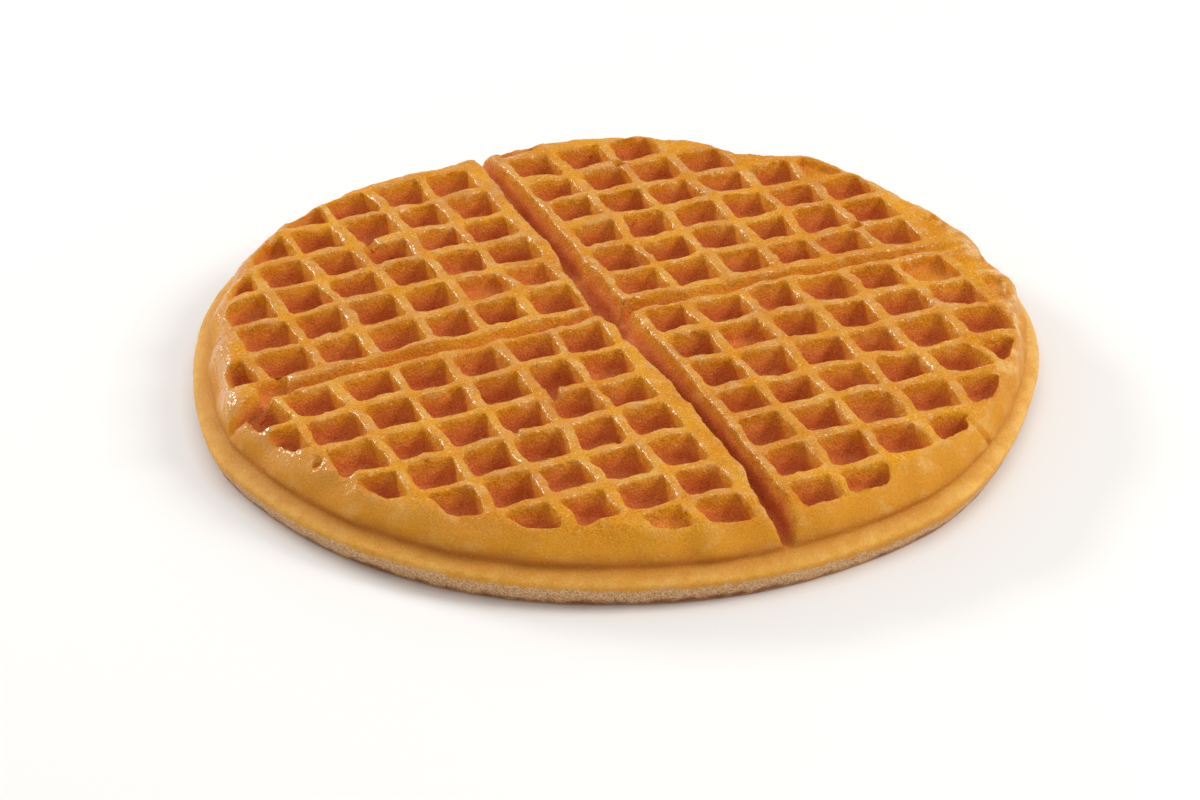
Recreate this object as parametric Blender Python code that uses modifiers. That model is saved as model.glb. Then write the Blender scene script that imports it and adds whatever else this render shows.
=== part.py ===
"""Round waffle with square pockets, baked in four quarters that stay joined.

One solid of baked batter. The middle of its underside is the origin, +Z is up, +X runs
along the narrow cross groove and +Y along the wide one. Metres.
"""
import math
import random

import bmesh
import bpy
from mathutils import Matrix, Vector, noise

MM = 0.001

# Driving dimensions, in millimetres
THICKNESS = 16.8          # at the middle, where the waffle is thickest
SAG = 1.45                # how far the top has sunk at SAG_RADIUS
SAG_RADIUS = 70.0
PITCH = 11.5              # from one pocket to the next
STEP_X = 9.6              # from the wide groove to the first pocket's middle
STEP_Y = 8.3              # from the narrow groove to the first pocket's middle
POCKET_TOP = 9.0          # a pocket's opening, square
POCKET_FLOOR = 6.4
POCKET_DEPTH = 6.1
POCKET_SIDE_LIMIT = 81.0  # pockets are cut off along this radius at the top
POCKET_KEEP = 81.3        # a pocket is baked where its middle lies within this radius
POCKETS_PER_ARM = 7
CUTTER_RISE = 2.0         # how far a cutter stands proud of the face it cuts

# Rim, from the top's edge down the outer side: radius and height
RIM_PROFILE = (
    (78.2, 16.8), (79.9, 16.2), (81.5, 14.6), (82.9, 12.2), (84.0, 9.8), (84.7, 8.3),
    (85.8, 7.6), (87.1, 6.9), (87.8, 5.9), (87.6, 4.9), (86.7, 2.6), (86.0, 0.7), (85.2, 0.0),
)
RIM_STEPS = 96

# Where the outline leaves the circle: angle from +X, how far in, and half-width in degrees
OUTLINE_DENTS = (
    (93.0, 4.2, 19.0), (99.0, 1.4, 6.0), (46.0, 3.6, 6.5), (36.0, -1.4, 4.5), (-38.0, 1.7, 15.0),
    (161.0, 1.6, 16.0), (-176.0, -0.8, 6.0), (-66.0, -0.8, 9.0), (-110.0, 0.4, 12.0),
)

# Grooves between the quarters. Each station gives the distance along the groove, its two
# lips and its depth. Batter bridges a groove where its depth drops.
WIDE_GROOVE = (
    (-92.0, -0.8, 3.6, 8.6), (-80.0, -2.7, 3.2, 8.0), (-66.0, -0.7, 2.9, 7.4), (-36.0, -0.6, 3.1, 7.0),
    (-20.0, -2.0, 3.0, 6.6), (-8.0, -2.4, 2.8, 4.4), (0.0, -3.7, 3.0, 7.0), (12.0, -3.6, 3.0, 6.6),
    (19.0, -3.2, 2.4, 3.8), (26.0, -1.5, 2.6, 6.2), (56.0, -1.3, 3.3, 6.6), (66.0, -0.6, 2.8, 4.4),
    (92.0, -2.2, 2.6, 6.4),
)
NARROW_GROOVE = (
    (-92.0, -8.0, -4.0, 6.5), (-80.0, -7.0, -1.5, 6.8), (-70.0, -1.6, 1.2, 4.4), (-40.0, -1.9, 2.0, 3.4),
    (-22.0, -2.0, 1.7, 3.0), (-10.0, -2.0, 2.2, 5.0), (12.0, -2.2, 2.0, 5.4), (19.0, -2.0, 1.4, 2.2),
    (34.0, -2.0, 0.9, 3.4), (66.0, -2.0, 0.8, 3.0), (76.0, -2.0, 0.2, 1.0), (80.0, -1.6, 0.0, -1.2),
    (92.0, -1.6, 0.0, -1.2),
)
PLAIN_GROOVE = ((-83.0, -1.9, 1.9, 5.6), (-40.0, -2.2, 1.8, 5.8), (10.0, -1.7, 2.3, 5.2), (83.0, -2.1, 1.8, 5.6))
GROOVE_STATIONS = 30
GROOVE_FLOOR_SHARE = 0.34  # a groove's floor is this share of its width

# Pockets where batter rose, (column, row), and the share of the depth that it left
SHALLOW = {
    (-1, 2): 0.62, (-2, 2): 0.58, (-2, 3): 0.78, (2, -2): 0.7, (6, -1): 0.45, (7, -1): 0.3,
    (7, 1): 0.35, (-1, -2): 0.8, (-2, -7): 0.5, (-5, 5): 0.7, (6, 4): 0.5, (7, -2): 0.5,
    (4, 6): 0.0, (5, 5): 0.0, (7, 2): 0.0, (7, 3): 0.0,
}
# Ribs that broke open between two pockets: middle x, y, then size along x and y, then depth
BREACHES = (
    (-23.6, -25.0, 2.4, 4.0, 3.2), (-35.8, -36.6, 1.0, 4.0, 2.6), (-35.2, 48.6, 1.6, 4.0, 3.0),
    (-72.5, 0.4, 7.0, 7.0, 4.2), (26.6, 60.2, 3.4, 4.0, 2.6), (61.0, 14.2, 3.0, 3.4, 2.0),
)

SEED = 11
OPENING_SPREAD = 0.32
PLACE_SPREAD = 0.28
DEPTH_SPREAD = 0.45
TURN_SPREAD = math.radians(2.2)
LIP_FLUTTER = 0.5         # how far a groove's lips waver
SURFACE_SWELL = 0.22      # low hills and dips on the ribs
SWELL_LENGTH = 17.0
SMALLEST_EDGE = 0.08      # edges shorter than this are closed up
FLAT_ANGLE = 0.0001       # faces that lie this flat to each other are joined, in radians

CRUST_COLOUR = (0.62, 0.28, 0.05, 1.0)


def clear_scene():
    for item in list(bpy.data.objects):
        bpy.data.objects.remove(item, do_unlink=True)


def make_collection(name):
    collection = bpy.data.collections.new(name)
    bpy.context.scene.collection.children.link(collection)
    return collection


def add_mesh_object(name, mesh_in_mm, collection):
    """Turns a bmesh drawn in millimetres into an object in metres."""
    bmesh.ops.scale(mesh_in_mm, vec=Vector((MM, MM, MM)), verts=mesh_in_mm.verts)
    mesh = bpy.data.meshes.new(name)
    mesh_in_mm.to_mesh(mesh)
    mesh_in_mm.free()
    made = bpy.data.objects.new(name, mesh)
    collection.objects.link(made)
    return made


def outline_dent(angle):
    """How far the outline lies inside the true circle at this angle, in millimetres."""
    total = 0.0
    for middle, depth, half_width in OUTLINE_DENTS:
        off = (math.degrees(angle) - middle + 180.0) % 360.0 - 180.0
        total += depth * math.exp(-((off / half_width) ** 2))
    return total


def column_places(step):
    """Pocket middles along one axis, numbered outwards from the groove."""
    for number in range(1, POCKETS_PER_ARM + 1):
        for side in (-1, 1):
            yield side * number, side * (step + (number - 1) * PITCH)


def turn_rim():
    """The plain disc: the rim profile turned about +Z, closed by a flat top and underside."""
    profile = bmesh.new()
    points = [profile.verts.new((radius, 0.0, height)) for radius, height in RIM_PROFILE]
    for upper, lower in zip(points, points[1:]):
        profile.edges.new((upper, lower))
    disc = add_mesh_object("waffle", profile, parts)
    screw = disc.modifiers.new("turned rim", "SCREW")
    screw.steps = RIM_STEPS
    screw.render_steps = RIM_STEPS
    screw.use_merge_vertices = True
    screw.merge_threshold = 0.00001
    bpy.context.view_layer.objects.active = disc
    bpy.ops.object.modifier_apply(modifier=screw.name)
    return disc


def shape_disc(disc):
    """Closes the disc, splits its faces along the ribs and presses in the outline."""
    shape = bmesh.new()
    shape.from_mesh(disc.data)
    open_edges = [edge for edge in shape.edges if edge.is_boundary]
    bmesh.ops.holes_fill(shape, edges=open_edges, sides=0)
    for axis, step in ((Vector((1, 0, 0)), STEP_X), (Vector((0, 1, 0)), STEP_Y)):
        for number, place in column_places(step):
            inner_rib = place - math.copysign(PITCH / 2, number)
            faces = shape.faces[:] + shape.edges[:] + shape.verts[:]
            bmesh.ops.bisect_plane(
                shape, geom=faces, dist=0.0000001, plane_co=axis * inner_rib * MM, plane_no=axis)
    for vert in shape.verts:
        radius = vert.co.xy.length / MM
        if radius < RIM_PROFILE[0][0] - 1.0:
            continue
        angle = math.atan2(vert.co.y, vert.co.x)
        vert.co.xy *= (radius - outline_dent(angle)) / radius
    bmesh.ops.recalc_face_normals(shape, faces=shape.faces)
    shape.to_mesh(disc.data)
    shape.free()


def pull_inside(vert, limit):
    """Moves a cutter's corner in along its radius to where the rim's wall begins."""
    reach = limit - outline_dent(math.atan2(vert.co.y, vert.co.x))
    radius = vert.co.xy.length
    if radius > reach:
        vert.co.xy *= reach / radius


def cut_pocket(name, x, y, share, face, draw):
    """One square, tapered cutter. Face is 1 for the top and -1 for the underside."""
    depth = POCKET_DEPTH * share + draw.uniform(-DEPTH_SPREAD, DEPTH_SPREAD)
    opening = POCKET_TOP + draw.uniform(-OPENING_SPREAD, OPENING_SPREAD)
    taper = (POCKET_TOP - POCKET_FLOOR) / POCKET_DEPTH
    floor_size = opening - taper * depth
    proud_size = opening + taper * CUTTER_RISE
    cutter = bmesh.new()
    bmesh.ops.create_cone(
        cutter, cap_ends=True, segments=4, radius1=floor_size / math.sqrt(2),
        radius2=proud_size / math.sqrt(2), depth=depth + CUTTER_RISE)
    turn = math.radians(45) + draw.uniform(-TURN_SPREAD, TURN_SPREAD)
    bmesh.ops.rotate(cutter, verts=cutter.verts, matrix=Matrix.Rotation(turn, 3, "Z"))
    shift = Vector((draw.uniform(-PLACE_SPREAD, PLACE_SPREAD), draw.uniform(-PLACE_SPREAD, PLACE_SPREAD), 0))
    lift = THICKNESS + (CUTTER_RISE - depth) / 2
    if face < 0:
        bmesh.ops.rotate(cutter, verts=cutter.verts, matrix=Matrix.Rotation(math.pi, 3, "X"))
        lift = THICKNESS - lift
    bmesh.ops.translate(cutter, verts=cutter.verts, vec=Vector((x, y, lift)) + shift)
    for vert in cutter.verts:
        floor_end = abs(vert.co.z - THICKNESS / 2) < THICKNESS / 2
        inset = taper * depth if floor_end else -taper * CUTTER_RISE
        pull_inside(vert, POCKET_SIDE_LIMIT - inset)
    made = add_mesh_object(name, cutter, cutters)
    made.display_type = "WIRE"
    made.hide_render = True


def cut_pockets():
    for face, title in ((1, "top"), (-1, "under")):
        draw = random.Random(SEED + face)
        for column, x in column_places(STEP_X):
            for row, y in column_places(STEP_Y):
                dent = outline_dent(math.atan2(y, x))
                share = SHALLOW.get((column, row), 1.0) if face > 0 else 1.0
                if math.hypot(x, y) < POCKET_KEEP - dent:
                    cut_pocket(f"pocket_{title}_{column}_{row}", x, y, share, face, draw)


def blend_stations(stations, along):
    """The lips and depth at a place along a groove, eased from one station to the next."""
    along = min(max(along, stations[0][0]), stations[-1][0])
    for near, far in zip(stations, stations[1:]):
        if along <= far[0]:
            share = (along - near[0]) / (far[0] - near[0])
            ease = share * share * (3.0 - 2.0 * share)
            return [a + (b - a) * ease for a, b in zip(near[1:], far[1:])]
    return stations[-1][1:]


def cut_groove(name, stations, along_y, face):
    """A groove with uneven lips, from a long box that is cut into stations."""
    start, end = stations[0][0], stations[-1][0]
    cutter = bmesh.new()
    bmesh.ops.create_cube(cutter, size=1.0)
    bmesh.ops.scale(cutter, vec=Vector((end - start, 1.0, 1.0)), verts=cutter.verts)
    bmesh.ops.translate(cutter, vec=Vector(((start + end) / 2, 0.0, 0.0)), verts=cutter.verts)
    for station in range(1, GROOVE_STATIONS):
        place = Vector((start + (end - start) * station / GROOVE_STATIONS, 0, 0))
        geometry = cutter.verts[:] + cutter.edges[:] + cutter.faces[:]
        bmesh.ops.bisect_plane(cutter, geom=geometry, dist=0.0001, plane_co=place, plane_no=(1, 0, 0))
    for vert in cutter.verts:
        near_lip, far_lip, depth = blend_stations(stations, vert.co.x)
        side = 1.0 if vert.co.y > 0 else -1.0
        flutter = noise.noise(Vector((vert.co.x / 5.0, 7.0 * side + face, 9.0 * along_y)))
        middle, half_width = (near_lip + far_lip) / 2, (far_lip - near_lip) / 2 + LIP_FLUTTER * flutter
        if vert.co.z < 0:
            vert.co.y = middle + side * half_width * GROOVE_FLOOR_SHARE
            vert.co.z = THICKNESS - depth
        else:
            flare = 1.0 + (1.0 - GROOVE_FLOOR_SHARE) * CUTTER_RISE / max(depth, CUTTER_RISE)
            vert.co.y = middle + side * half_width * flare
            vert.co.z = THICKNESS + CUTTER_RISE
    if along_y:
        for vert in cutter.verts:
            vert.co.x, vert.co.y = vert.co.y, vert.co.x
    if face < 0:
        for vert in cutter.verts:
            vert.co.z = THICKNESS - vert.co.z
    bmesh.ops.recalc_face_normals(cutter, faces=cutter.faces)
    made = add_mesh_object(name, cutter, cutters)
    made.display_type = "WIRE"
    made.hide_render = True


def cut_breaches():
    for number, (x, y, size_x, size_y, depth) in enumerate(BREACHES):
        cutter = bmesh.new()
        bmesh.ops.create_cone(
            cutter, cap_ends=True, segments=4, radius1=0.45, radius2=0.75, depth=depth + CUTTER_RISE,
            matrix=Matrix.Rotation(math.radians(45), 4, "Z"))
        bmesh.ops.scale(cutter, vec=Vector((size_x, size_y, 1.0)), verts=cutter.verts)
        lift = THICKNESS + (CUTTER_RISE - depth) / 2
        bmesh.ops.translate(cutter, verts=cutter.verts, vec=Vector((x, y, lift)))
        made = add_mesh_object(f"breach_{number}", cutter, cutters)
        made.display_type = "WIRE"
        made.hide_render = True


def apply_cuts(disc):
    """Cuts everything at once and then clears the cutters away."""
    cut = disc.modifiers.new("pockets and grooves", "BOOLEAN")
    cut.operation = "DIFFERENCE"
    cut.operand_type = "COLLECTION"
    cut.collection = cutters
    bpy.context.view_layer.objects.active = disc
    bpy.ops.object.modifier_apply(modifier=cut.name)
    for item in list(cutters.objects):
        bpy.data.objects.remove(item, do_unlink=True)


def settle(disc):
    """Lets the top sag and swell, then puts the middle of the underside on the origin."""
    shape = bmesh.new()
    shape.from_mesh(disc.data)
    bmesh.ops.dissolve_limit(shape, angle_limit=FLAT_ANGLE, verts=shape.verts, edges=shape.edges)
    bmesh.ops.triangulate(shape, faces=shape.faces)
    bmesh.ops.remove_doubles(shape, verts=shape.verts, dist=SMALLEST_EDGE * MM)
    bmesh.ops.dissolve_degenerate(shape, dist=SMALLEST_EDGE * MM, edges=shape.edges)
    bmesh.ops.triangulate(shape, faces=shape.faces)
    for vert in shape.verts:
        place = vert.co / MM
        share = place.z / THICKNESS
        sag = SAG * place.xy.length_squared / SAG_RADIUS ** 2
        swell = SURFACE_SWELL * noise.noise(Vector((place.x, place.y, 50.0)) / SWELL_LENGTH)
        vert.co.z += share * (swell - sag) * MM
    low = Vector((min(vert.co.x for vert in shape.verts), min(vert.co.y for vert in shape.verts), 0))
    high = Vector((max(vert.co.x for vert in shape.verts), max(vert.co.y for vert in shape.verts), 0))
    bmesh.ops.translate(shape, verts=shape.verts, vec=-(low + high) / 2)
    shape.to_mesh(disc.data)
    shape.free()


def make_crust():
    crust = bpy.data.materials.new("baked_crust")
    crust.use_nodes = True
    surface = crust.node_tree.nodes["Principled BSDF"]
    surface.inputs["Base Color"].default_value = CRUST_COLOUR
    surface.inputs["Roughness"].default_value = 0.5
    surface.inputs["Metallic"].default_value = 0.0
    return crust


clear_scene()
parts = make_collection("round_waffle")
cutters = make_collection("cutters")
waffle = turn_rim()
shape_disc(waffle)
cut_pockets()
cut_groove("wide_groove_top", WIDE_GROOVE, True, 1)
cut_groove("narrow_groove_top", NARROW_GROOVE, False, 1)
cut_groove("wide_groove_under", PLAIN_GROOVE, True, -1)
cut_groove("narrow_groove_under", PLAIN_GROOVE, False, -1)
cut_breaches()
apply_cuts(waffle)
settle(waffle)
waffle.data.materials.append(make_crust())
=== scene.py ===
import math
import random

import bpy
import numpy as np
from mathutils import Matrix, Vector
from mathutils.bvhtree import BVHTree


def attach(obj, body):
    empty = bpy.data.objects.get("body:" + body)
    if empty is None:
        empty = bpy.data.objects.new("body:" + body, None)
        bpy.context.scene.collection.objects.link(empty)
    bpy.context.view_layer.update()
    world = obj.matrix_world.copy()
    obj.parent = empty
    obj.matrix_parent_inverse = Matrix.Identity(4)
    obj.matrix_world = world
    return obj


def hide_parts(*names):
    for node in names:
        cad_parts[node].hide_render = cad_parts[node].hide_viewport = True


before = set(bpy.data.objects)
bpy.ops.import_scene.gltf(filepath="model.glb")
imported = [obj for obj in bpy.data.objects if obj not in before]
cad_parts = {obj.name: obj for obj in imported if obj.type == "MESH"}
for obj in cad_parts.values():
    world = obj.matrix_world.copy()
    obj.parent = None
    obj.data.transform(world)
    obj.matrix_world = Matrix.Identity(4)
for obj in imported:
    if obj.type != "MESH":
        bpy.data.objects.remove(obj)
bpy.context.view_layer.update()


# The waffle, shape
# A round waffle of poured batter, baked in an iron that presses pockets into both faces.
# Its solid already has the pockets, the two crossing grooves and the pressed rim, so the crust
# starts as a copy of it, is softened as dough is, and then swells and roughens all over.
MM = 0.001
GRID_CENTRE = (0.2 * MM, 1.9 * MM)      # where the two grooves cross
LEAST_RIM = 85.0 * MM                   # how far out the rim is where it isn't dented
VOXEL = 0.44 * MM
LIP_ROUNDS = 1                          # rounds of smoothing, for lips about 0.4 mm in radius
RIB_SHRINK = 0.30 * MM                  # how far each side of a rib draws in as it dries
SHOULDER_START, SHOULDER_END = 58 * MM, 80 * MM     # where the swell begins and is whole
SWAY_SIZE, SWAY = 8.5 * MM, 1.4 * MM    # how wide and how strong the ribs wander sideways
HEAVE_SIZE, HEAVE = 9.5 * MM, 2.2 * MM  # the same for their height
PUFF_SIZE, PUFF_RISE = 4.0 * MM, 0.70 * MM
CRAG_SIZE, CRAG_RISE = 1.4 * MM, 0.42 * MM
LOBE_SIZE, LOBE_RISE = 9.0 * MM, 2.8 * MM
GROOVE_HALF, GROOVE_FADE = 2 * MM, 6 * MM       # ribs beside the grooves wander less
LEAST_SWAY = 0.25
CREASE_HEIGHT, CREASE_WIDTH, CREASE_DEPTH = 7.6 * MM, 0.95 * MM, 0.65 * MM
FLANGE_HEIGHT, FLANGE_WIDTH, FLANGE_BULGE = 5.9 * MM, 0.9 * MM, 0.30 * MM
FOLD_TURN, FOLD_WIDTH, FOLD_DEPTH = -51.5, 0.8 * MM, 1.3 * MM  # a short fold down the slope
FOLD_RADIUS, FOLD_LEAN = 85 * MM, 0.35
BLISTERS = ((-74.6, -27.1, 1.1, 1.9), (-76.3, 28.6, 1.0, 1.6))  # burst ones: x, y, radius, depth
SMALL_BLISTERS, BLISTER_SEED = 34, 23
BLISTER_REACH = 74 * MM                 # how far from the middle the small ones lie
TOP_ONLY = 8 * MM                       # what lies lower belongs to the underside
RAGGED_BELOW = 0.6                      # how alike neighbouring points face where all is well
RAGGED_ROUNDS = 14
CRUST_TRIANGLES = 196000

bpy.ops.object.select_all(action="DESELECT")
crust_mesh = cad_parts["waffle"].data.copy()
crust = bpy.data.objects.new("waffle_crust", crust_mesh)
bpy.context.scene.collection.objects.link(crust)
crust_mesh.materials.clear()
bpy.context.view_layer.objects.active = crust
crust.select_set(True)
bpy.ops.object.mode_set(mode="EDIT")
bpy.ops.mesh.select_all(action="SELECT")
bpy.ops.mesh.remove_doubles(threshold=0.00001)
bpy.ops.object.mode_set(mode="OBJECT")


def finish_with(kind, **settings):
    """Adds one modifier to the active piece, sets it and applies it."""
    step = bpy.context.object.modifiers.new(kind.title(), kind)
    for key, value in settings.items():
        setattr(step, key, value)
    bpy.ops.object.modifier_apply(modifier=step.name)


finish_with("REMESH", mode="VOXEL", voxel_size=VOXEL)
finish_with("SMOOTH", factor=0.5, iterations=LIP_ROUNDS)


def read_points(mesh):
    """All the points of a mesh, one row each."""
    flat = np.empty(len(mesh.vertices) * 3, np.float32)
    mesh.vertices.foreach_get("co", flat)
    return flat.reshape(-1, 3)


def read_facing(mesh):
    """Which way each point of a mesh faces, one row each."""
    flat = np.empty(len(mesh.vertices) * 3, np.float32)
    mesh.vertex_normals.foreach_get("vector", flat)
    return flat.reshape(-1, 3)


def read_edges(mesh):
    """The numbers of the two points of each edge of a mesh."""
    flat = np.empty(len(mesh.edges) * 2, np.int32)
    mesh.edges.foreach_get("vertices", flat)
    return flat.reshape(-1, 2)


def spread(values, edges, rounds):
    """Averages a value at each point with its neighbours', a few times."""
    for _ in range(rounds):
        total = values.astype(np.float32)
        count = np.ones(len(values), np.float32)
        for a, b in ((0, 1), (1, 0)):
            np.add.at(total, edges[:, a], values[edges[:, b]])
            np.add.at(count, edges[:, a], 1)
        values = total / count
    return values


def from_middle(places):
    """Each place's direction and distance from the middle, and its angle from +X in degrees."""
    flat = places[:, :2] - np.array(GRID_CENTRE, np.float32)
    distance = np.hypot(flat[:, 0], flat[:, 1])
    turn = np.degrees(np.arctan2(flat[:, 1], flat[:, 0]))
    return flat / np.maximum(distance, MM)[:, None], distance, turn


def turn_between(turn, middle):
    """How far an angle is from another, in degrees from -180 to 180."""
    return (turn - middle + 180) % 360 - 180


def bell(turn, middle, half_width):
    """How near an angle is to the middle one, from 0 to 1."""
    return np.exp(-(turn_between(turn, middle) / half_width) ** 2)


def hump(values, middle, half_width):
    """How near a length is to the middle one, from 0 to 1."""
    return np.exp(-((values - middle) / half_width) ** 2)


def ramp(values, start, end):
    """0 up to the start, 1 from the end on, and even between them."""
    return np.clip((values - start) / (end - start), 0, 1)


# Where the outline is dented, distances count as if the rim were as far out as elsewhere.
_, radius, turn = from_middle(read_points(crust.data))
rim_turns = np.arange(-180, 180, 4)
rim_radius = [radius[np.abs(turn_between(turn, at)) < 3].max() for at in rim_turns]


def from_dented(places):
    """The same as from_middle, but the distance is more where the rim is dented."""
    outward, distance, turn = from_middle(places)
    rim = np.interp(turn, rim_turns, rim_radius, period=360)
    return outward, distance + np.maximum(LEAST_RIM - rim, 0).astype(np.float32), turn


# The ribs drew in a little as they dried. The shoulder swelled outwards while it baked, most
# at the front right, and took the outer pockets with it, over a pressed rim that stayed put.
# Both swells are in mm.
points = read_points(crust.data)
facing = read_facing(crust.data)
outward, radius, turn = from_dented(points)
height = points[:, 2]
points[:, :2] -= facing[:, :2] * (RIB_SHRINK * (1 - ramp(radius, 80 * MM, 83 * MM)))[:, None]
low_swell = 0.7 + 1.0 * bell(turn, -35, 30) - 0.2 * bell(turn, 177, 25)
high_swell = (0.3 + 2.4 * bell(turn, -32, 32) + 0.9 * bell(turn, 177, 25)
              + 0.7 * bell(turn, 90, 25))
share = ramp(height, 8 * MM, 13 * MM)
swell = low_swell * (1 - share) + high_swell * share
swell *= MM * ramp(height, 6.8 * MM, 8.2 * MM) * ramp(radius, SHOULDER_START, SHOULDER_END)
points[:, :2] += outward * swell[:, None]
crust.data.vertices.foreach_set("co", points.ravel())
crust.data.update()


def weigh_points(name, weights):
    """Keeps a weight from 0 to 1 at each point of the crust, in twenty even steps."""
    group = crust.vertex_groups.new(name=name)
    steps = np.rint(np.clip(weights, 0, 1) * 20).astype(int)
    for step in range(1, 21):
        group.add(np.nonzero(steps == step)[0].tolist(), step / 20, "REPLACE")


def swell_with(name, size, depth, basis, direction, strength, group=""):
    """Moves the crust's points by a cloudy pattern of about this size."""
    pattern = bpy.data.textures.new(name, "CLOUDS")
    pattern.noise_scale = size
    pattern.noise_depth = depth
    pattern.noise_basis = basis
    finish_with("DISPLACE", texture=pattern, texture_coords="LOCAL", direction=direction,
                strength=strength, mid_level=0.5, vertex_group=group)


# The ribs wander and heave, the slope bulges in lobes, and puffs and crags cover all but the
# pressed edge.
_, radius, _ = from_dented(points)
from_groove = np.abs(points[:, :2] - np.array(GRID_CENTRE, np.float32)) - GROOVE_HALF
beside = np.clip(from_groove / GROOVE_FADE, LEAST_SWAY, 1)
above = np.clip((height - 2 * MM) / (6 * MM), LEAST_SWAY, 1)
ribs = (1 - ramp(radius, 77 * MM, 83 * MM)) * above
weigh_points("ribs across", ribs * beside[:, 0])
weigh_points("ribs along", ribs * beside[:, 1])
weigh_points("upper", ramp(height, 4 * MM, 13 * MM))
weigh_points("slope", ramp(radius, 78 * MM, 83 * MM) * ramp(height, 7.6 * MM, 9.6 * MM))
on_edge = ramp(radius, 80 * MM, 83.5 * MM)
under = 1 - ramp(height, 5 * MM, 9 * MM)
weigh_points("rough", (1 - 0.75 * on_edge) * (1 - 0.35 * under * (1 - on_edge)))
swell_with("ribs wander across", SWAY_SIZE, 0, "BLENDER_ORIGINAL", "X", SWAY, "ribs across")
swell_with("ribs wander along", SWAY_SIZE * 1.15, 0, "IMPROVED_PERLIN", "Y", SWAY, "ribs along")
swell_with("top heaves", HEAVE_SIZE, 1, "ORIGINAL_PERLIN", "Z", HEAVE, "upper")
swell_with("edge lobes", LOBE_SIZE, 0, "IMPROVED_PERLIN", "NORMAL", LOBE_RISE, "slope")
swell_with("batter puffs", PUFF_SIZE, 1, "BLENDER_ORIGINAL", "NORMAL", PUFF_RISE, "rough")
swell_with("crust crags", CRAG_SIZE, 2, "BLENDER_ORIGINAL", "NORMAL", CRAG_RISE, "rough")

# The iron's two halves leave a crease round the edge and a rounded flange below it, and the
# slope above them is folded once where the batter met itself.
points = read_points(crust.data)
outward, radius, turn = from_dented(points)
height = points[:, 2]
on_edge = ramp(radius, 79 * MM, 80.5 * MM)
crease = hump(height, CREASE_HEIGHT, CREASE_WIDTH) * CREASE_DEPTH
flange = hump(height, FLANGE_HEIGHT, FLANGE_WIDTH) * FLANGE_BULGE
lean = np.degrees(FOLD_LEAN * (height - CREASE_HEIGHT) / FOLD_RADIUS)
fold = bell(turn + lean, FOLD_TURN, math.degrees(FOLD_WIDTH / FOLD_RADIUS))
fold *= ramp(height, 7.0 * MM, 8.5 * MM) * FOLD_DEPTH
points[:, :2] += outward * ((flange - crease - fold) * on_edge)[:, None]
points[:, 2] = np.maximum(points[:, 2], 0)

# Steam bubbles burst here and there at the top and leave small round holes.
draw = random.Random(BLISTER_SEED)
burst = [[value * MM for value in row] for row in BLISTERS]
for _ in range(SMALL_BLISTERS):
    angle = draw.uniform(0, 2 * math.pi)
    out = BLISTER_REACH * math.sqrt(draw.uniform(0.05, 1))
    burst.append((out * math.cos(angle), out * math.sin(angle), draw.uniform(0.6, 1.0) * MM,
                  draw.uniform(0.4, 0.9) * MM))
for x, y, wide, deep in burst:
    off = np.hypot(points[:, 0] - x, points[:, 1] - y)
    near = (off < wide) & (points[:, 2] > TOP_ONLY)
    points[near, 2] -= deep * (1 - (off[near] / wide) ** 2) ** 0.5
crust.data.vertices.foreach_set("co", points.ravel())
crust.data.update()

# Thin crests between two hollows may have crossed over themselves, so they are melted down.
facing = read_facing(crust.data)
edges = read_edges(crust.data)
around = np.stack([spread(facing[:, axis], edges, 1) for axis in range(3)], 1)
ragged = ((around * facing).sum(1) < RAGGED_BELOW).astype(np.float32)
weigh_points("ragged", 6 * spread(ragged, edges, 4))
finish_with("SMOOTH", factor=0.5, iterations=RAGGED_ROUNDS, vertex_group="ragged")
finish_with("SMOOTH", factor=0.3, iterations=1)
quads = len(crust.data.polygons)
finish_with("DECIMATE", ratio=CRUST_TRIANGLES / (2 * quads), use_collapse_triangulate=True)
bpy.ops.object.shade_smooth()


# The waffle, browning and painted shade
# Down in the pockets and grooves the crust is painted darker and redder the more sheltered it is,
# as painted shade, and where the edge squeezed out between the irons it stayed pale and open.
# Each point of the mesh keeps how sheltered it is, which part of the edge it lies on, and whether
# fat gathered there.
SHELTER_RAYS = 14
SHELTER_REACH = 14 * MM
SHELTER_LIFT = 0.15 * MM                        # how far above the crust the rays start
GOLDEN_TURN = 0.61803                           # spreads the rays evenly
LIP_LEAST, LIP_FULL = 0.07 * MM, 0.28 * MM      # how far a lip stands out of what is round it
# The streak in the crease is painted shade.
SHADE_STREAK_HEIGHT, SHADE_STREAK_WIDTH = 8.1 * MM, 1.4 * MM        # the brown streak in the crease
BAND_LEAST, BAND_MORE = 3.2 * MM, 2.3 * MM      # the band's height, and what the front left adds

points = read_points(crust.data)
facing = read_facing(crust.data)
tree = BVHTree.FromObject(crust, bpy.context.evaluated_depsgraph_get())
rays = []
for i in range(SHELTER_RAYS):
    angle = 2 * math.pi * (i * GOLDEN_TURN)
    out = math.sqrt((i + 0.5) / SHELTER_RAYS)
    rays.append(Vector((out * math.cos(angle), out * math.sin(angle), math.sqrt(1 - out * out))))
shelter = np.empty(len(points), np.float32)
for i in range(len(points)):
    up = Vector(facing[i])
    start = Vector(points[i]) + up * SHELTER_LIFT
    turned = up.to_track_quat("Z", "Y")
    hits = 0
    for ray in rays:
        if tree.ray_cast(start, turned @ ray, SHELTER_REACH)[0] is not None:
            hits += 1
    shelter[i] = hits / SHELTER_RAYS

edges = read_edges(crust.data)
shelter = spread(shelter, edges, 3)
_, radius, turn = from_dented(points)
height = points[:, 2]
middle = np.stack([spread(points[:, axis], edges, 3) for axis in range(3)], 1)
lip_and_sheen = spread(ramp(((points - middle) * facing).sum(1), LIP_LEAST, LIP_FULL), edges, 1)
lip_and_sheen *= 1 - 0.9 * ramp(radius, 81 * MM, 83.5 * MM) * (1 - ramp(height, 7.5 * MM, 9 * MM))
edge = ramp(radius, 79.5 * MM, 82.5 * MM) * np.clip(1.5 - 3 * shelter, 0, 1)
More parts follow.
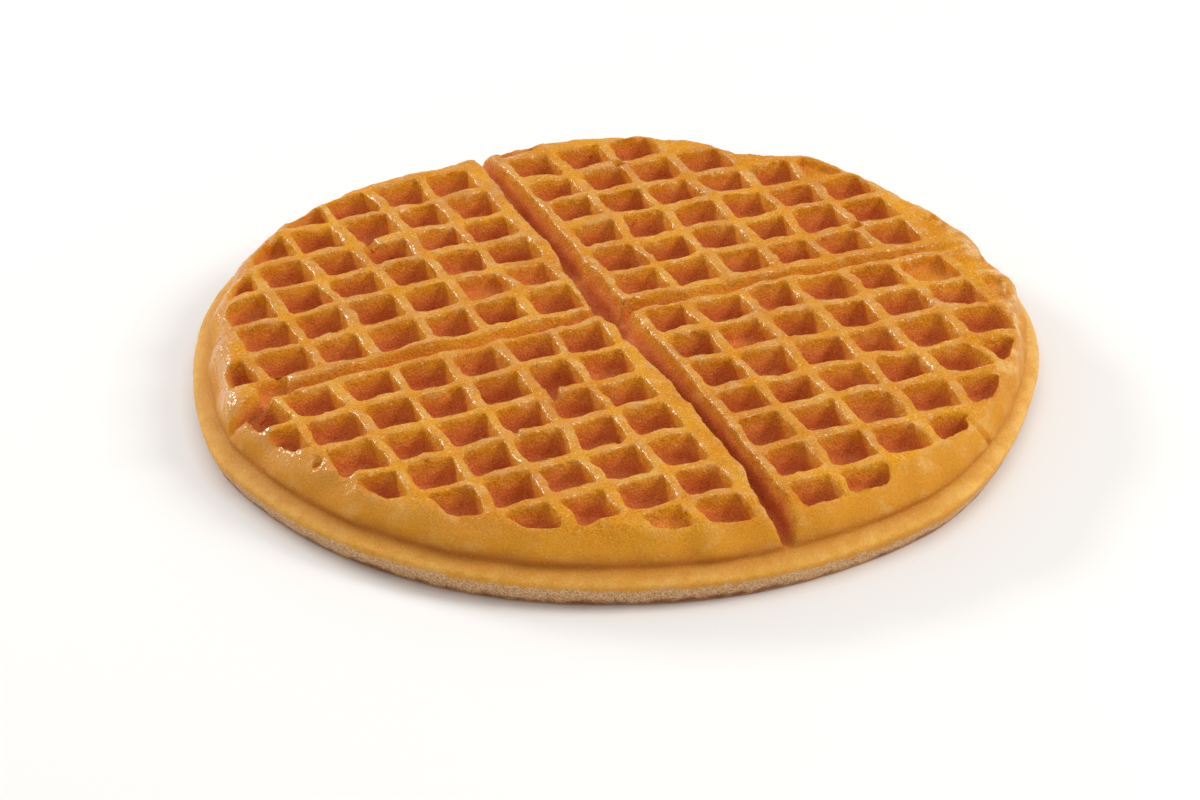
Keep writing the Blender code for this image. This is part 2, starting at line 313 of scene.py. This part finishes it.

# Fat gathered along the lips, and on the shoulder at the left and a little at the right. At the
# right the shoulder is also painted creamier through the lip mark, as painted highlight.
shoulder = hump(radius, 81.5 * MM, 3.0 * MM) * ramp(height, 10 * MM, 12 * MM)
shoulder *= np.clip(1.5 - 4 * shelter, 0, 1)
shoulder *= 0.1 + 0.9 * bell(turn, 180, 45) + 0.45 * bell(turn, -5, 35)
film = shoulder + 1.25 * lip_and_sheen * (1 - 0.85 * ramp(radius, 72 * MM, 78 * MM))
# Painted highlight: cream added to the lip mark on the shoulder at the lit right.
lip_and_sheen += 4.5 * shoulder * bell(turn, -20, 40)

# The crease is painted darker brown, as painted shade, most at the front left where the rim lies
# in shade, and the flange is painted paler, partly its own pale batter and partly painted light,
# most at the lit right. The pale band and the singed base stop where the edge turns under.
on_rim = ramp(radius, 80 * MM, 81.5 * MM)
# Painted shade: the crease's dark streak, strongest at the front left.
crease = hump(height, SHADE_STREAK_HEIGHT, SHADE_STREAK_WIDTH) * on_rim
crease *= 0.35 + 0.65 * bell(turn, -125, 60)
flange = hump(height, 6.0 * MM, 1.2 * MM) * ramp(radius, 83 * MM, 84.5 * MM)
# Painted light: the flange is made paler still towards the lit right.
flange *= 1 + 0.8 * bell(turn, -20, 50)
upright = ramp(facing[:, 2], -0.95, -0.6)
band_top = BAND_LEAST + BAND_MORE * bell(turn, -128, 75)
band = np.clip((band_top - height) / (0.9 * MM), 0, 1) * ramp(radius, 80 * MM, 82.5 * MM)
band = spread(band * upright, edges, 1)
base = ramp(-height, -3.0 * MM, -1.2 * MM) * on_rim * upright
point_marks = {"shelter": shelter, "lip_and_sheen": lip_and_sheen, "edge": edge, "crease": crease, "flange": flange,
               "pale_band": band, "base": base, "film": film}
for name, values in point_marks.items():
    kept = crust.data.attributes.new(name, "FLOAT", "POINT")
    kept.data.foreach_set("value", values.astype(np.float32))


# The waffle, material
# Baked batter crust: flour, egg and sugar browned against hot greased iron. Its skin is golden
# orange on the ribs and cream where it is open crumb. The red brown down in the pockets and in
# the crease is painted shade, the cream on the lips and the right shoulder is painted highlight,
# the flange's cream is partly painted light, and the open crumb is painted lighter as painted
# bounce light. It is dull where it dried and has a thin film of fat on the lips, which glints,
# broken up by fine bubbles.
RIB_GOLD = "#DA941A"
RIB_AMBER = "#CE8214"
# Painted shade: the wall and pocket browns, laid on more the deeper and more sheltered a point
# is.
WALL_SHADE_BROWN = "#D47C37"
POCKET_SHADE_BROWN = "#C86B3B"
EDGE_YELLOW = "#D28D27"
# The flange's cream, partly its own pale batter and partly painted light at the right.
FLANGE_CREAM_AND_LIGHT = "#E8B35C"
# Painted highlight: the cream laid on the lips and the right shoulder.
LIP_HIGHLIGHT_CREAM = "#EBC27C"
# The open crumb's colours are painted lighter, as painted bounce light under the overhang.
OPEN_CRUMB_BOUNCE_LIT = "#E4C197"
CRUMB_TONE_BOUNCE_LIT = "#B27C47"
# Painted shade in the crease.
CREASE_SHADE_BROWN = "#A55A24"
SINGED = "#7E3A1B"
CRUST_IOR = 1.21                        # below fat's 1.46, as a dry crumb is part air
RIB_TOP = 16.8 * MM                     # height of the ribs at the middle
RIB_SAG = 1.45 * MM / (70 * MM) ** 2    # how they sink towards the rim
PATCH_SIZE, MOTTLE_SIZE, GRAIN_SIZE = 16 * MM, 3.5 * MM, 0.38 * MM
CRUMB_SIZE, BUBBLE_SIZE, FILM_SIZE = 1.0 * MM, 1.3 * MM, 1.3 * MM
BUBBLE_RISE, GRAIN_RISE, CRUMB_RISE, FILM_RISE = 0.4 * MM, 0.24 * MM, 0.10 * MM, 0.38 * MM
FAT_ROUGHNESS = 0.17


def colour(hexed):
    """An sRGB hex colour as linear RGBA."""
    parts = [int(hexed[i:i + 2], 16) / 255 for i in (1, 3, 5)]
    return [c / 12.92 if c <= 0.04045 else ((c + 0.055) / 1.055) ** 2.4 for c in parts] + [1.0]


def add_node(material, kind, links=(), inputs=None, **settings):
    """Adds a node. links are (input name or number, the output that feeds it), inputs are the
    values of its other sockets, and settings are the node's own."""
    made = material.node_tree.nodes.new(kind)
    for key, value in settings.items():
        setattr(made, key, value)
    for key, value in (inputs or {}).items():
        made.inputs[key].default_value = value
    for where, source in links:
        material.node_tree.links.new(source, made.inputs[where])
    return made


baked_crust = bpy.data.materials.new("baked batter crust")
baked_crust.use_nodes = True
baked_crust.node_tree.nodes.clear()
place = add_node(baked_crust, "ShaderNodeTexCoord").outputs["Object"]
marks = {}
for name in point_marks:
    mark = add_node(baked_crust, "ShaderNodeAttribute", attribute_name=name)
    marks[name] = mark.outputs["Fac"]

patches = add_node(baked_crust, "ShaderNodeTexNoise", [("Vector", place)],
                   {"Scale": 1 / PATCH_SIZE, "Detail": 3.0, "Roughness": 0.55}).outputs["Fac"]
mottle = add_node(baked_crust, "ShaderNodeTexNoise", [("Vector", place)],
                  {"Scale": 1 / MOTTLE_SIZE, "Detail": 4.0, "Roughness": 0.6}).outputs["Fac"]
grain = add_node(baked_crust, "ShaderNodeTexNoise", [("Vector", place)],
                 {"Scale": 1 / GRAIN_SIZE, "Detail": 2.0, "Roughness": 0.6}).outputs["Fac"]

# How far a point lies below the tops of the ribs, or above the underside, whichever is less,
# goes together with its shelter into one depth, from 0 on the ribs to about 1 in the pockets.
# The colours below darken and redden with it, as painted shade.
axes = add_node(baked_crust, "ShaderNodeSeparateXYZ", [(0, place)])
x_square = add_node(baked_crust, "ShaderNodeMath",
                    [(0, axes.outputs["X"]), (1, axes.outputs["X"])], operation="MULTIPLY")
out_square = add_node(baked_crust, "ShaderNodeMath",
                      [(0, axes.outputs["Y"]), (1, axes.outputs["Y"]), (2, x_square.outputs[0])],
                      operation="MULTIPLY_ADD")
rib_height = add_node(baked_crust, "ShaderNodeMath", [(0, out_square.outputs[0])],
                      {1: -RIB_SAG, 2: RIB_TOP}, operation="MULTIPLY_ADD")
below_ribs = add_node(baked_crust, "ShaderNodeMath",
                      [(0, rib_height.outputs[0]), (1, axes.outputs["Z"])], operation="SUBTRACT")
sunk = add_node(baked_crust, "ShaderNodeMath",
                [(0, below_ribs.outputs[0]), (1, axes.outputs["Z"])], operation="MINIMUM")
sunk_share = add_node(baked_crust, "ShaderNodeMapRange", [("Value", sunk.outputs[0])],
                      {"From Min": 0.6 * MM, "From Max": 6.0 * MM, "To Max": 0.60})
off_edge = add_node(baked_crust, "ShaderNodeMath", [(1, marks["edge"])], {0: 1.0},
                    operation="SUBTRACT", use_clamp=True)
in_pocket = add_node(baked_crust, "ShaderNodeMath",
                     [(0, sunk_share.outputs["Result"]), (1, off_edge.outputs[0])],
                     operation="MULTIPLY")
wobble = add_node(baked_crust, "ShaderNodeMath", [(0, mottle)], {1: 0.24, 2: -0.12},
                  operation="MULTIPLY_ADD")
shelter_shade_share = add_node(baked_crust, "ShaderNodeMath",
                         [(0, marks["shelter"]), (2, wobble.outputs[0])], {1: 0.42},
                         operation="MULTIPLY_ADD")
depth = add_node(baked_crust, "ShaderNodeMath",
                 [(0, in_pocket.outputs[0]), (1, shelter_shade_share.outputs[0])],
                 operation="ADD").outputs[0]

# The skin's colours, laid one over the other. The wall and pocket browns and the crease brown
# are painted shade, the lip cream is painted highlight, and the flange cream is partly painted
# light.
rib_mix = add_node(baked_crust, "ShaderNodeMapRange", [("Value", patches)],
                   {"From Min": 0.38, "From Max": 0.62})
skin_colour = add_node(baked_crust, "ShaderNodeMix", [("Factor", rib_mix.outputs["Result"])],
                       {6: colour(RIB_GOLD), 7: colour(RIB_AMBER)}, data_type="RGBA")
# Painted highlight: cream laid on the lips in patches.
lip_highlight_patches = add_node(baked_crust, "ShaderNodeMapRange", [("Value", mottle)],
                       {"From Min": 0.48, "From Max": 0.60, "To Min": 0.0, "To Max": 0.30})
lip_highlight_share = add_node(baked_crust, "ShaderNodeMath",
                     [(0, marks["lip_and_sheen"]), (1, lip_highlight_patches.outputs["Result"])],
                     operation="MULTIPLY")
# Painted shade: walls and floors of the pockets are mixed towards darker, redder browns by depth.
wall_shade_share = add_node(baked_crust, "ShaderNodeMapRange", [("Value", depth)],
                      {"From Min": 0.16, "From Max": 0.52})
floor_shade_share = add_node(baked_crust, "ShaderNodeMapRange", [("Value", depth)],
                       {"From Min": 0.48, "From Max": 0.86})
edge_share = add_node(baked_crust, "ShaderNodeMath", [(0, marks["edge"])], {1: 0.7},
                      operation="MULTIPLY")
# The flange's cream, partly pale batter and partly painted light.
flange_patches = add_node(baked_crust, "ShaderNodeMapRange", [("Value", mottle)],
                          {"From Min": 0.4, "From Max": 0.6, "To Min": 0.35, "To Max": 0.75})
flange_pale_and_lit_share = add_node(baked_crust, "ShaderNodeMath",
                        [(0, marks["flange"]), (1, flange_patches.outputs["Result"])],
                        operation="MULTIPLY")
crease_shade_share = add_node(baked_crust, "ShaderNodeMath", [(0, marks["crease"])], {1: 0.75},
                        operation="MULTIPLY")
for share, laid in ((wall_shade_share, WALL_SHADE_BROWN), (floor_shade_share, POCKET_SHADE_BROWN),
                    (edge_share, EDGE_YELLOW), (flange_pale_and_lit_share, FLANGE_CREAM_AND_LIGHT),
                    (lip_highlight_share, LIP_HIGHLIGHT_CREAM), (crease_shade_share, CREASE_SHADE_BROWN)):
    skin_colour = add_node(baked_crust, "ShaderNodeMix",
                           [("Factor", share.outputs[0]), (6, skin_colour.outputs[2])],
                           {7: colour(laid)}, data_type="RGBA")

# Fine pale crumbs in the lip cream, partly real crumbs and partly painted glints, and a grain
# that is calmer on the edge
crumbs = add_node(baked_crust, "ShaderNodeTexVoronoi", [("Vector", place)],
                  {"Scale": 1 / CRUMB_SIZE})
crumb_kind = add_node(baked_crust, "ShaderNodeSeparateColor", [(0, crumbs.outputs["Color"])])
crumb_round = add_node(baked_crust, "ShaderNodeMapRange", [("Value", crumbs.outputs["Distance"])],
                       {"From Min": 0.14, "From Max": 0.40, "To Min": 1.0, "To Max": 0.0})
crumb_some = add_node(baked_crust, "ShaderNodeMapRange", [("Value", crumb_kind.outputs[0])],
                      {"From Min": 0.72, "From Max": 0.85})
crumb_here = add_node(baked_crust, "ShaderNodeMath",
                      [(0, crumb_round.outputs["Result"]), (1, crumb_some.outputs["Result"])],
                      operation="MULTIPLY")
smoothness = add_node(baked_crust, "ShaderNodeMath", [(0, depth), (1, marks["edge"])],
                      operation="MAXIMUM")
crumb_share = add_node(baked_crust, "ShaderNodeMapRange", [("Value", smoothness.outputs[0])],
                       {"From Min": 0.1, "From Max": 0.5, "To Min": 0.60, "To Max": 0.10})
crumb_glint_share = add_node(baked_crust, "ShaderNodeMath",
                     [(0, crumb_here.outputs[0]), (1, crumb_share.outputs["Result"])],
                     operation="MULTIPLY")
crumbs_and_glints = add_node(baked_crust, "ShaderNodeMix",
                   [("Factor", crumb_glint_share.outputs[0]), (6, skin_colour.outputs[2])],
                   {7: colour(LIP_HIGHLIGHT_CREAM)}, data_type="RGBA")
speckle = add_node(baked_crust, "ShaderNodeMapRange", [("Value", grain)],
                   {"From Min": 0.3, "From Max": 0.7, "To Min": 0.74, "To Max": 1.26})
calm_edge = add_node(baked_crust, "ShaderNodeMath", [(0, marks["edge"])], {1: 0.6},
                     operation="MULTIPLY")
calmed = add_node(baked_crust, "ShaderNodeMix",
                  [("Factor", calm_edge.outputs[0]), (2, speckle.outputs["Result"])], {3: 1.0},
                  data_type="FLOAT")
speckled = add_node(baked_crust, "ShaderNodeVectorMath",
                    [(0, crumbs_and_glints.outputs[2]), ("Scale", calmed.outputs[0])], operation="SCALE")

# The pale band under the flange, where the crumb is open, painted lighter than its own tone as
# painted bounce light under the overhang, and its singed foot
crumb_tone = add_node(baked_crust, "ShaderNodeMapRange", [("Value", grain)],
                      {"From Min": 0.38, "From Max": 0.62})
band_crumb_bounce_lit = add_node(baked_crust, "ShaderNodeMix", [("Factor", crumb_tone.outputs["Result"])],
                      {6: colour(OPEN_CRUMB_BOUNCE_LIT), 7: colour(CRUMB_TONE_BOUNCE_LIT)}, data_type="RGBA")
band_wobble = add_node(baked_crust, "ShaderNodeMath", [(0, mottle), (2, marks["pale_band"])],
                       {1: 1.4}, operation="MULTIPLY_ADD")
band_share = add_node(baked_crust, "ShaderNodeMapRange", [("Value", band_wobble.outputs[0])],
                      {"From Min": 1.20, "From Max": 1.45})
banded = add_node(baked_crust, "ShaderNodeMix",
                  [("Factor", band_share.outputs["Result"]), (6, speckled.outputs["Vector"]),
                   (7, band_crumb_bounce_lit.outputs[2])], data_type="RGBA")
foot_wobble = add_node(baked_crust, "ShaderNodeMath", [(0, mottle), (2, marks["base"])],
                       {1: 2.4}, operation="MULTIPLY_ADD")
foot_share = add_node(baked_crust, "ShaderNodeMapRange", [("Value", foot_wobble.outputs[0])],
                      {"From Min": 1.75, "From Max": 2.25, "To Max": 0.85})
foot_near = add_node(baked_crust, "ShaderNodeMath",
                     [(0, foot_share.outputs["Result"]), (1, marks["base"])],
                     operation="MULTIPLY")
finished = add_node(baked_crust, "ShaderNodeMix",
                    [("Factor", foot_near.outputs[0]), (6, banded.outputs[2])],
                    {7: colour(SINGED)}, data_type="RGBA")

# Bubbles, grain and crumbs as a fine relief, drier in the pockets
bubbles = add_node(baked_crust, "ShaderNodeTexVoronoi", [("Vector", place)],
                   {"Scale": 1 / BUBBLE_SIZE, "Smoothness": 0.5}, feature="SMOOTH_F1")
bubble_share = add_node(baked_crust, "ShaderNodeMapRange", [("Value", smoothness.outputs[0])],
                        {"From Min": 0.1, "From Max": 0.6, "To Min": 0.45, "To Max": 0.12})
bubble_bump = add_node(baked_crust, "ShaderNodeBump",
                       [("Height", bubbles.outputs["Distance"]),
                        ("Strength", bubble_share.outputs["Result"])],
                       {"Distance": BUBBLE_RISE})
grain_bump = add_node(baked_crust, "ShaderNodeBump",
                      [("Height", grain), ("Normal", bubble_bump.outputs[0])],
                      {"Strength": 0.9, "Distance": GRAIN_RISE})
crumb_bump = add_node(baked_crust, "ShaderNodeBump",
                      [("Height", crumb_here.outputs[0]), ("Normal", grain_bump.outputs[0])],
                      {"Strength": 0.6, "Distance": CRUMB_RISE})
dull = add_node(baked_crust, "ShaderNodeMapRange", [("Value", mottle)],
                {"From Min": 0.35, "From Max": 0.65, "To Min": 0.40, "To Max": 0.56})
dried = add_node(baked_crust, "ShaderNodeMath", [(0, depth), (2, dull.outputs["Result"])],
                 {1: 0.2}, operation="MULTIPLY_ADD", use_clamp=True)
# The film of fat, with a surface of its own
fat_patches = add_node(baked_crust, "ShaderNodeMapRange", [("Value", mottle)],
                       {"From Min": 0.52, "From Max": 0.68, "To Min": -0.15, "To Max": 0.08})
fat_film = add_node(baked_crust, "ShaderNodeMath",
                    [(0, marks["film"]), (1, fat_patches.outputs["Result"])],
                    operation="ADD", use_clamp=True)
fat_left = add_node(baked_crust, "ShaderNodeMapRange", [("Value", depth)],
                    {"From Min": 0.25, "From Max": 0.6, "To Min": 1.0, "To Max": 0.15})
fat = add_node(baked_crust, "ShaderNodeMath",
               [(0, fat_film.outputs[0]), (1, fat_left.outputs["Result"])],
               operation="MULTIPLY", use_clamp=True)
film_lumps = add_node(baked_crust, "ShaderNodeTexNoise", [("Vector", place)],
                      {"Scale": 1 / FILM_SIZE, "Detail": 1.5, "Roughness": 0.5})
film_bump = add_node(baked_crust, "ShaderNodeBump", [("Height", film_lumps.outputs["Fac"])],
                     {"Strength": 1.0, "Distance": FILM_RISE})
skin = add_node(baked_crust, "ShaderNodeBsdfPrincipled",
                [("Base Color", finished.outputs[2]), ("Roughness", dried.outputs[0]),
                 ("Normal", crumb_bump.outputs[0]), ("Coat Weight", fat.outputs[0]),
                 ("Coat Normal", film_bump.outputs[0])],
                {"IOR": CRUST_IOR, "Subsurface Weight": 0.15, "Subsurface Scale": 1.0 * MM,
                 "Subsurface Radius": (1.0, 0.45, 0.2), "Coat Roughness": FAT_ROUGHNESS})
add_node(baked_crust, "ShaderNodeOutputMaterial", [("Surface", skin.outputs[0])])
crust.data.materials.append(baked_crust)
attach(crust, "root")
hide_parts("waffle")


# The floor
# A plain pale matt board that the waffle lies on. It is only there for the picture.
FLOOR_WHITE = "#F0EFED"

bpy.ops.mesh.primitive_plane_add(size=6, location=(0, 0, 0))
board = bpy.context.object
board.name = "floor_board"
board_paint = bpy.data.materials.new("matt white board")
board_paint.use_nodes = True
matt = board_paint.node_tree.nodes["Principled BSDF"]
matt.inputs["Base Color"].default_value = colour(FLOOR_WHITE)
matt.inputs["Roughness"].default_value = 0.7
board.data.materials.append(board_paint)


# The lights
# A soft box stands to the right and a wide one hangs above. A low one behind to the left puts
# the small glints along the lips, and an even white room fills the shade.
ROOM_BRIGHTNESS = 0.52


def soft_box(name, towards, distance, width, tall, watts, hexed):
    """A soft box that looks at the middle of the waffle."""
    lamp = bpy.data.lights.new(name, "AREA")
    lamp.shape = "RECTANGLE"
    lamp.size = width
    lamp.size_y = tall
    lamp.energy = watts
    lamp.color = colour(hexed)[:3]
    holder = bpy.data.objects.new(name, lamp)
    bpy.context.scene.collection.objects.link(holder)
    away = Vector(towards).normalized()
    facing_middle = away.to_track_quat("Z", "Y").to_matrix().to_4x4()
    holder.matrix_world = Matrix.Translation(away * distance) @ facing_middle


soft_box("light_right", (0.85, -0.45, 0.80), 1.2, 0.45, 0.45, 6.4, "#FFFCF8")
soft_box("light_back_left", (-0.46, 0.78, 0.42), 1.2, 0.44, 0.20, 6.4, "#FFFFFF")
soft_box("light_above", (0.0, -0.15, 1.0), 1.1, 1.0, 1.0, 3.4, "#FFFFFF")
room = bpy.data.worlds.new("white room")
room.use_nodes = True
walls = room.node_tree.nodes["Background"]
walls.inputs["Color"].default_value = (1.0, 1.0, 1.0, 1.0)
walls.inputs["Strength"].default_value = ROOM_BRIGHTNESS
bpy.context.scene.world = room
bpy.context.scene.view_settings.view_transform = "Standard"


# The camera
# It stands before the waffle and a little to its left, looking down at about thirty degrees,
# through a long lens from nearly a metre away.
CAMERA_PLACE = (-0.31822, -0.75891, 0.48478)
CAMERA_RIGHT = (0.92189877, -0.38733939, -0.0084171)
CAMERA_UP = (0.20449206, 0.46802507, 0.85972992)
CAMERA_BACK = (-0.32906785, -0.79430518, 0.51067957)

camera = bpy.data.objects.new("camera", bpy.data.cameras.new("camera"))
bpy.context.scene.collection.objects.link(camera)
turned = Matrix((CAMERA_RIGHT, CAMERA_UP, CAMERA_BACK)).transposed().to_4x4()
camera.matrix_world = Matrix.Translation(CAMERA_PLACE) @ turned
camera.data.lens = 139.405
camera.data.sensor_width = 36
camera.data.clip_start = 0.05
bpy.context.scene.camera = camera


# Everything is brought up to date
bpy.context.view_layer.update()
